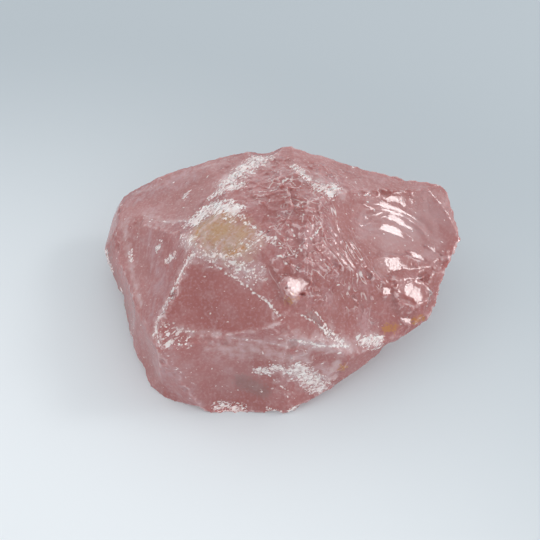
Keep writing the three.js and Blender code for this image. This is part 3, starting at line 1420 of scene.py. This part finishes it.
    def clouded(self, g: Graph, at: Value, patterns: Patterns) -> Value:
        """The colour of clean quartz, with the clouds in it, and in rough places a painted sheen that is
        stronger on some small breaks than on others.

        Args:
            g: the graph.
            at: the position.
            patterns: the noises.

        Returns:
            The colour.
        """
        colour = g.blend(g.rise(g.noise(at, 18 * MM, 4), 0.35, 0.65), self.deep, self.rose)
        colour = g.blend(g.rise(patterns.wisps, 0.46, 0.76) * 0.35, colour, self.milky)
        colour = g.blend(g.rise(patterns.streaks, 0.5, 0.8) * 0.25, colour, self.milky)
        colour = g.blend(g.rise(patterns.fine, 0.48, 0.72) * 0.4, colour, self.milky)
        colour = g.blend(g.rise(patterns.fine, 0.46, 0.3) * 0.5, colour, self.deep)
        # Painted sheen: in rough places some small breaks are paler, as though each caught the light its
        # own way.
        tone = self.parts(g, g.cells(g.stir(at, 3 * MM, 0.6 * MM), 2.5 * MM)["Color"])[1]
        rough = g.rise(g.attribute(Mark.ROUGH.value), 0.0, 0.5)
        return g.blend(rough * g.rise(tone, 0.4, 1.0) * 0.25, colour, self.milky)

    def veiled(self, g: Graph, colour: Value, patterns: Patterns) -> Value:
        """A colour under the pale faces, the haze with the painted sheen of the dish, and the veils.

        Args:
            g: the graph.
            colour: the colour.
            patterns: the noises.

        Returns:
            The veiled colour.
        """
        pale = g.rise(g.attribute(Mark.PALE.value) + (patterns.wisps - 0.5) * 0.8, 0.0, 0.7)
        streaked = g.rise(patterns.streaks, 0.4, 0.65) * 0.55 + 0.1
        colour = g.blend(pale * streaked, colour, self.lavender)
        # Painted sheen on the dish, milky haze on the lower front.
        haze_and_sheen = self.level(g, Mark.HAZE_AND_SHEEN, patterns.wisps, 0.8)
        colour = g.blend(g.rise(haze_and_sheen, 0.0, 1.2), colour, self.haze_and_sheen)
        veil = self.level(g, Mark.VEIL, patterns.grain, 1.4)
        return g.blend(g.rise(veil, 0.1, 1.0) * 0.6, colour, self.veil)

    def stained(self, g: Graph, at: Value, colour: Value, patterns: Patterns) -> Value:
        """A colour under the earthy stain, the iron stains and the smudges.

        Args:
            g: the graph.
            at: the position.
            colour: the colour.
            patterns: the noises.

        Returns:
            The stained colour.
        """
        ochre = self.level(g, Mark.OCHRE, patterns.grain, 1.2)
        colour = g.blend(g.rise(ochre, 0.1, 1.0) * 0.85, colour, self.earth(g, at, patterns))
        rust = self.level(g, Mark.RUST, patterns.fine, 2.6)
        colour = g.blend(g.rise(rust, 0.3, 0.9) * 0.85, colour, self.rust)
        smudge = self.level(g, Mark.SMUDGE, patterns.fine, 1.6)
        return g.blend(g.rise(smudge, 0.1, 0.9) * 0.45, colour, self.smoke)

    def earth(self, g: Graph, at: Value, patterns: Patterns) -> Value:
        """The colour of the earthy stain, with fibres and rusty grains in it.

        Args:
            g: the graph.
            at: the position.
            patterns: the noises.

        Returns:
            The colour.
        """
        earth = g.blend(g.rise(g.noise(at, 4 * MM, 3), 0.4, 0.65), self.sand, self.ochre)
        fibres = g.noise(g.drawn_out(at, self.grain_way, 4), 0.7 * MM, 3)
        earth = g.blend(g.rise(fibres, 0.45, 0.75) * 0.6, earth, self.veil)
        return g.blend(g.rise(patterns.fine, 0.5, 0.35) * 0.5, earth, self.rust)

    def relief(self, g: Graph, at: Value, ice: Value) -> Value:
        """The breaks and the grain that are too fine for the mesh.

        Args:
            g: the graph.
            at: the position.
            ice: where it is white.

        Returns:
            The normal.
        """
        glassy = g.attribute(GLASSY)
        grain = g.noise(at, 1.0 * MM, 4) * (ice * 0.12 + 0.012) * MM
        drawn = g.drawn_out(g.stir(at, 4 * MM, 0.8 * MM), self.glass_way, 3)
        lines = g.noise(drawn, 1.3 * MM, 3) * glassy * 0.07 * MM
        rough = g.rise(g.attribute(Mark.ROUGH.value), 0.0, 0.8)
        patchy = g.rise(g.noise(at, 5 * MM, 2), 0.38, 0.6)
        clear = (1 - glassy) * g.rise(g.attribute(Mark.SMOOTH.value), 1.0, 0.0)
        breaks = g.tilts(at, 1.9 * MM) * (rough * patchy * 0.13 + patchy * 0.03 + 0.01) * clear
        inputs = {"Strength": 1.0, "Distance": 1.0, "Height": grain + lines + breaks}
        return g.node("ShaderNodeBump", None, inputs)


@dataclass(frozen=True)
class PaleFloorWithPaintedLight:
    """A plain pale matt surface with a painted pool of light: lighter round its middle, in front of the
    stone and to its left, and darker away from there, in painted shade behind the stone and to its right.

    Attributes:
        near: its colour in the middle, where the painted light is brightest.
        far: its colour far from there, in painted shade.
        middle: where the painted pool of light is brightest.
        start: the distance at which it starts to darken.
        end: the distance at which it is darkest.
    """

    near: Colour = (0.84, 0.87, 0.89, 1.0)
    far: Colour = (0.48, 0.525, 0.555, 1.0)
    middle: Way = (-0.12, -0.19, 0.0)
    start: float = 0.13
    end: float = 0.34

    def material(self) -> bpy.types.Material:
        """Builds the material.

        Returns:
            The material.
        """
        made = bpy.data.materials.new("pale floor with painted light")
        made.use_nodes = True
        g = Graph(made.node_tree)
        # Painted light: lighter near the middle, darker away from it.
        away = g.length(g.node("ShaderNodeTexCoord", None, None, "Object") - self.middle)
        colour = g.blend(g.rise(away, self.start, self.end), self.near, self.far)
        surface = g.node("ShaderNodeBsdfDiffuse", None, {"Color": colour})
        g.node("ShaderNodeOutputMaterial", None, {"Surface": surface})
        return made


# ---------------------------------------------------------------- the stone


@dataclass
class QuartzChunk:
    """The whole stone, in one piece.

    Attributes:
        solid: the object of the solid that it is made from.
        block: the solid's box.
        glass: its small glassy breaks.
        weld: how close the solid's loose corners are to be joined.
        grid: the size of the even mesh that carries the fine shape.
        most_triangles: the number of triangles it is thinned to.
        crease: the angle past which an edge is drawn sharp.
        stride: the distance between the points of a line on the skin.
        bend: the length of the bends in such a line.
        sway: how far it bends.
        octaves: how many sizes of bend it has.
        seed: the number that the bends start from, which is not 0, because that takes the clock's.
    """

    solid: bpy.types.Object
    block: Block
    glass: GlassyBreaks
    weld: float = 0.01 * MM
    grid: float = 0.42 * MM
    most_triangles: int = 190_000
    crease: float = math.radians(38)
    stride: float = 1.5 * MM
    bend: float = 9 * MM
    sway: float = 1.0 * MM
    octaves: int = 3
    seed: int = 7

    def build(self, finish: RoseQuartz) -> bpy.types.Object:
        """Makes the stone.

        Args:
            finish: what it is dressed in.

        Returns:
            The stone.
        """
        stone = self.copy_of_solid()
        material = finish.material()
        stone.data.materials.append(material)
        dressed = {"Material": material}
        for chips in CHIPS:
            grow(stone, chips.tree(), dressed)
        for flake in FLAKES:
            self.strike(stone, flake)
        self.mesh_evenly(stone)
        self.mark(stone)
        grow(stone, BrokenSurface().tree(self.block, RIPPLES, HACKLES), dressed)
        grow(stone, self.glass.tree(Skin(stone, self.block), FACETS), dressed)
        grow(stone, EdgeWearAndRimHighlight().tree(), dressed)
        self.thin(stone)
        stone.data.calc_loop_triangles()
        log.info("%s: %d triangles", stone.name, len(stone.data.loop_triangles))
        return stone

    def copy_of_solid(self) -> bpy.types.Object:
        """A copy of the solid with its corners joined, which leaves the solid as it is."""
        mesh = bpy.data.meshes.new("rose_quartz")
        work = bmesh.new()
        work.from_mesh(self.solid.data)
        bmesh.ops.remove_doubles(work, verts=work.verts, dist=self.weld)
        work.to_mesh(mesh)
        work.free()
        mesh.materials.clear()
        stone = bpy.data.objects.new("rose_quartz", mesh)
        bpy.context.scene.collection.objects.link(stone)
        return stone

    def strike(self, stone: bpy.types.Object, flake: Flake) -> None:
        """Takes one flake off the stone.

        Args:
            stone: the stone.
            flake: the flake.
        """
        cutter = self.cutter(flake)
        out = Vector(flake.faces).normalized()
        work = bmesh.new()
        work.from_mesh(stone.data)
        start = self.block.place(flake.aim) + out * self.block.size.x
        point = BVHTree.FromBMesh(work).ray_cast(start, -out)[0]
        work.free()
        turn = out.to_track_quat("Z", "Y").to_matrix().to_4x4()
        cutter.matrix_world = Matrix.Translation(point - out * flake.bite) @ turn
        cut = stone.modifiers.new(flake.name, "BOOLEAN")
        cut.operation = "DIFFERENCE"
        cut.solver = "MANIFOLD"
        cut.object = cutter
        settle(stone)
        mesh = cutter.data
        bpy.data.objects.remove(cutter)
        bpy.data.meshes.remove(mesh)

    def cutter(self, flake: Flake) -> bpy.types.Object:
        """Makes the ball that takes a flake off, with its lowest point on the origin.

        Args:
            flake: the flake.

        Returns:
            The ball.
        """
        mesh = bpy.data.meshes.new(flake.name)
        work = bmesh.new()
        above = Matrix.Translation((0, 0, flake.ball))
        bmesh.ops.create_icosphere(work, subdivisions=6, radius=flake.ball, matrix=above)
        work.to_mesh(mesh)
        work.free()
        ball = bpy.data.objects.new(flake.name, mesh)
        bpy.context.scene.collection.objects.link(ball)
        return ball

    def mesh_evenly(self, stone: bpy.types.Object) -> None:
        """Covers the stone with an even fine mesh."""
        remesh = stone.modifiers.new("even mesh", "REMESH")
        remesh.mode = "VOXEL"
        remesh.voxel_size = self.grid
        settle(stone)

    def thin(self, stone: bpy.types.Object) -> None:
        """Thins the mesh where it is flat."""
        stone.data.calc_loop_triangles()
        decimate = stone.modifiers.new("thin", "DECIMATE")
        decimate.ratio = min(1.0, self.most_triangles / len(stone.data.loop_triangles))
        settle(stone)
        stone.data.shade_smooth()
        stone.data.set_sharp_from_angle(angle=self.crease)

    def line(self, skin: Skin, side: Side, path: tuple[Place, ...]) -> np.ndarray:
        """Lays one wandering line on the stone's skin.

        Args:
            skin: the skin.
            side: the side that the line is seen from.
            path: the places that it runs through.

        Returns:
            The line's points.
        """
        corners = [skin.point(side, place) for place in path]
        dense = [corners[0]]
        for start, end in zip(corners, corners[1:]):
            steps = max(1, round((end - start).length / self.stride))
            dense += [start.lerp(end, step / steps) for step in range(1, steps + 1)]
        pushes = [
            noise.turbulence_vector(point / self.bend, self.octaves, False) * self.sway
            for point in dense
        ]
        return np.array([skin.nearest(point + push) for point, push in zip(dense, pushes)])

    def mark(self, stone: bpy.types.Object) -> None:
        """Stores how strong each kind of mark is at each point of the mesh.

        Args:
            stone: the stone.
        """
        noise.seed_set(self.seed)
        mesh = stone.data
        skin = Skin(stone, self.block)
        points = np.empty(len(mesh.vertices) * 3, np.float32)
        mesh.vertices.foreach_get("co", points)
        points = points.reshape(-1, 3)
        levels = {kind: np.zeros(len(points), np.float32) for kind in Mark}
        for (kind, side), traces in TRACES.items():
            for trace in traces:
                self.spread(levels[kind], points, self.line(skin, side, trace.path), trace)
        for kind, level in levels.items():
            mesh.attributes.new(kind.value, "FLOAT", "POINT").data.foreach_set("value", level)

    def spread(self, level: np.ndarray, points: np.ndarray, line: np.ndarray, trace: Trace) -> None:
        """Raises the level of a mark near one line, where it is lower.

        Args:
            level: the level at each point, which is changed.
            points: the points.
            line: the line's points.
            trace: the trace that the line was laid for.
        """
        low = line.min(axis=0) - trace.reach
        high = line.max(axis=0) + trace.reach
        near = np.flatnonzero(np.all((points > low) & (points < high), axis=1))
        raised = trace.strength * (1 - self.distance(points[near], line) / trace.reach)
        level[near] = np.maximum(level[near], raised)

    def distance(self, points: np.ndarray, line: np.ndarray) -> np.ndarray:
        """The distance of each point from a line over the stone.

        Args:
            points: the points.
            line: the line's points.

        Returns:
            A distance for each point.
        """
        nearest = np.linalg.norm(points - line[0], axis=1)
        for start, end in zip(line, line[1:]):
            along = end - start
            share = np.clip((points - start) @ along / max(along @ along, 1e-12), 0, 1)
            nearest = np.minimum(nearest, np.linalg.norm(points - start - share[:, None] * along, axis=1))
        return nearest


# ---------------------------------------------------------------- the studio


@dataclass(frozen=True)
class Softbox:
    """A square light that faces the stone.

    Attributes:
        name: what it is called.
        place: where it hangs.
        side: the length of its side.
        power: its power in watts.
    """

    name: str
    place: Way
    side: float
    power: float

    def hang(self) -> None:
        """Hangs the light."""
        light = bpy.data.lights.new(self.name, "AREA")
        light.size = self.side
        light.energy = self.power
        lamp = bpy.data.objects.new(self.name, light)
        lamp.location = self.place
        lamp.rotation_euler = (-Vector(self.place)).to_track_quat("-Z", "Y").to_euler()
        bpy.context.scene.collection.objects.link(lamp)


@dataclass
class Studio:
    """The floor, the lights and the camera.

    Attributes:
        block: the stone's box.
        elevation: how far above the floor the camera looks from.
        lens: the camera's focal length in millimetres.
        sensor: the width of its sensor in millimetres.
        distance: how far the camera stands from the stone, in lengths of the stone.
        near: the nearest distance that the camera sees.
        aim: the share of the box that the camera looks at.
        floor: how far the floor goes each way.
        key: the light that the glassy breaks catch.
        fill: the other lights.
        wall: the light of the tent's walls.
        ceiling: the light of its ceiling, right above the stone.
        eaves: how high on the tent its walls start to turn into its ceiling.
        ridge: how high on it they have done so.
    """

    block: Block
    elevation: float = math.radians(52)
    lens: float = 55.0
    sensor: float = 36.0
    distance: float = 2.196
    near: float = 0.01
    aim: Share = (-0.026, 0.0, 0.476)
    floor: float = 3.0
    key: Softbox = Softbox("key softbox", (0.558, 0.150, 0.474), side=0.13, power=0.68)
    fill: tuple[Softbox, ...] = (
        Softbox("right softbox", (0.570, 0.150, 0.440), side=0.40, power=0.5),
        Softbox("left softbox", (-0.50, 0.29, 0.48), side=0.40, power=0.5),
    )
    wall: Colour = (1.33, 1.38, 1.42, 1.0)
    ceiling: Colour = (0.62, 0.64, 0.66, 1.0)
    eaves: float = 0.2
    ridge: float = 0.85

    @property
    def eye(self) -> Vector:
        """Where the camera stands: above the front of the stone."""
        back = Vector((0, -math.cos(self.elevation), math.sin(self.elevation)))
        return self.block.place(self.aim) + back * (self.distance * self.block.size.x)

    def build(self) -> None:
        """Builds the studio."""
        self.lay_floor()
        for light in (self.key, *self.fill):
            light.hang()
        self.pitch_tent()
        self.set_camera()

    def lay_floor(self) -> None:
        """Lays the floor."""
        mesh = bpy.data.meshes.new("floor")
        work = bmesh.new()
        bmesh.ops.create_grid(work, x_segments=1, y_segments=1, size=self.floor)
        work.to_mesh(mesh)
        work.free()
        mesh.materials.append(PaleFloorWithPaintedLight().material())
        floor = bpy.data.objects.new("floor", mesh)
        bpy.context.scene.collection.objects.link(floor)

    def pitch_tent(self) -> None:
        """Sets the pale walls of the tent round the stone."""
        world = bpy.data.worlds.new("studio")
        world.use_nodes = True
        g = Graph(world.node_tree)
        way = g.node("ShaderNodeTexCoord", None, None, "Generated")
        up = g.node("ShaderNodeSeparateXYZ", None, {0: way}, "Z")
        walls = g.blend(g.rise(up, self.eaves, self.ridge), self.wall, self.ceiling)
        tent = g.node("ShaderNodeBackground", None, {"Color": walls, "Strength": 1.0})
        g.node("ShaderNodeOutputWorld", None, {"Surface": tent})
        bpy.context.scene.world = world

    def set_camera(self) -> None:
        """Sets the camera above the front of the stone."""
        camera = bpy.data.cameras.new("camera")
        camera.lens = self.lens
        camera.sensor_width = self.sensor
        camera.clip_start = self.near
        eye = bpy.data.objects.new("camera", camera)
        eye.location = self.eye
        eye.rotation_euler = (math.pi / 2 - self.elevation, 0, 0)
        bpy.context.scene.collection.objects.link(eye)
        bpy.context.scene.camera = eye
        bpy.context.scene.view_settings.view_transform = "Standard"


def main() -> None:
    """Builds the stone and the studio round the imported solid."""
    logging.basicConfig(level=logging.INFO, format="%(message)s")
    block = Block(*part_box(NODE))
    studio = Studio(block)
    glass = GlassyBreaks(studio.eye, Vector(studio.key.place))
    stone = QuartzChunk(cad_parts[NODE], block, glass).build(RoseQuartz())
    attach(stone, BODY)
    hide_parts(NODE)
    studio.build()


if __name__ == "__main__":
    main()
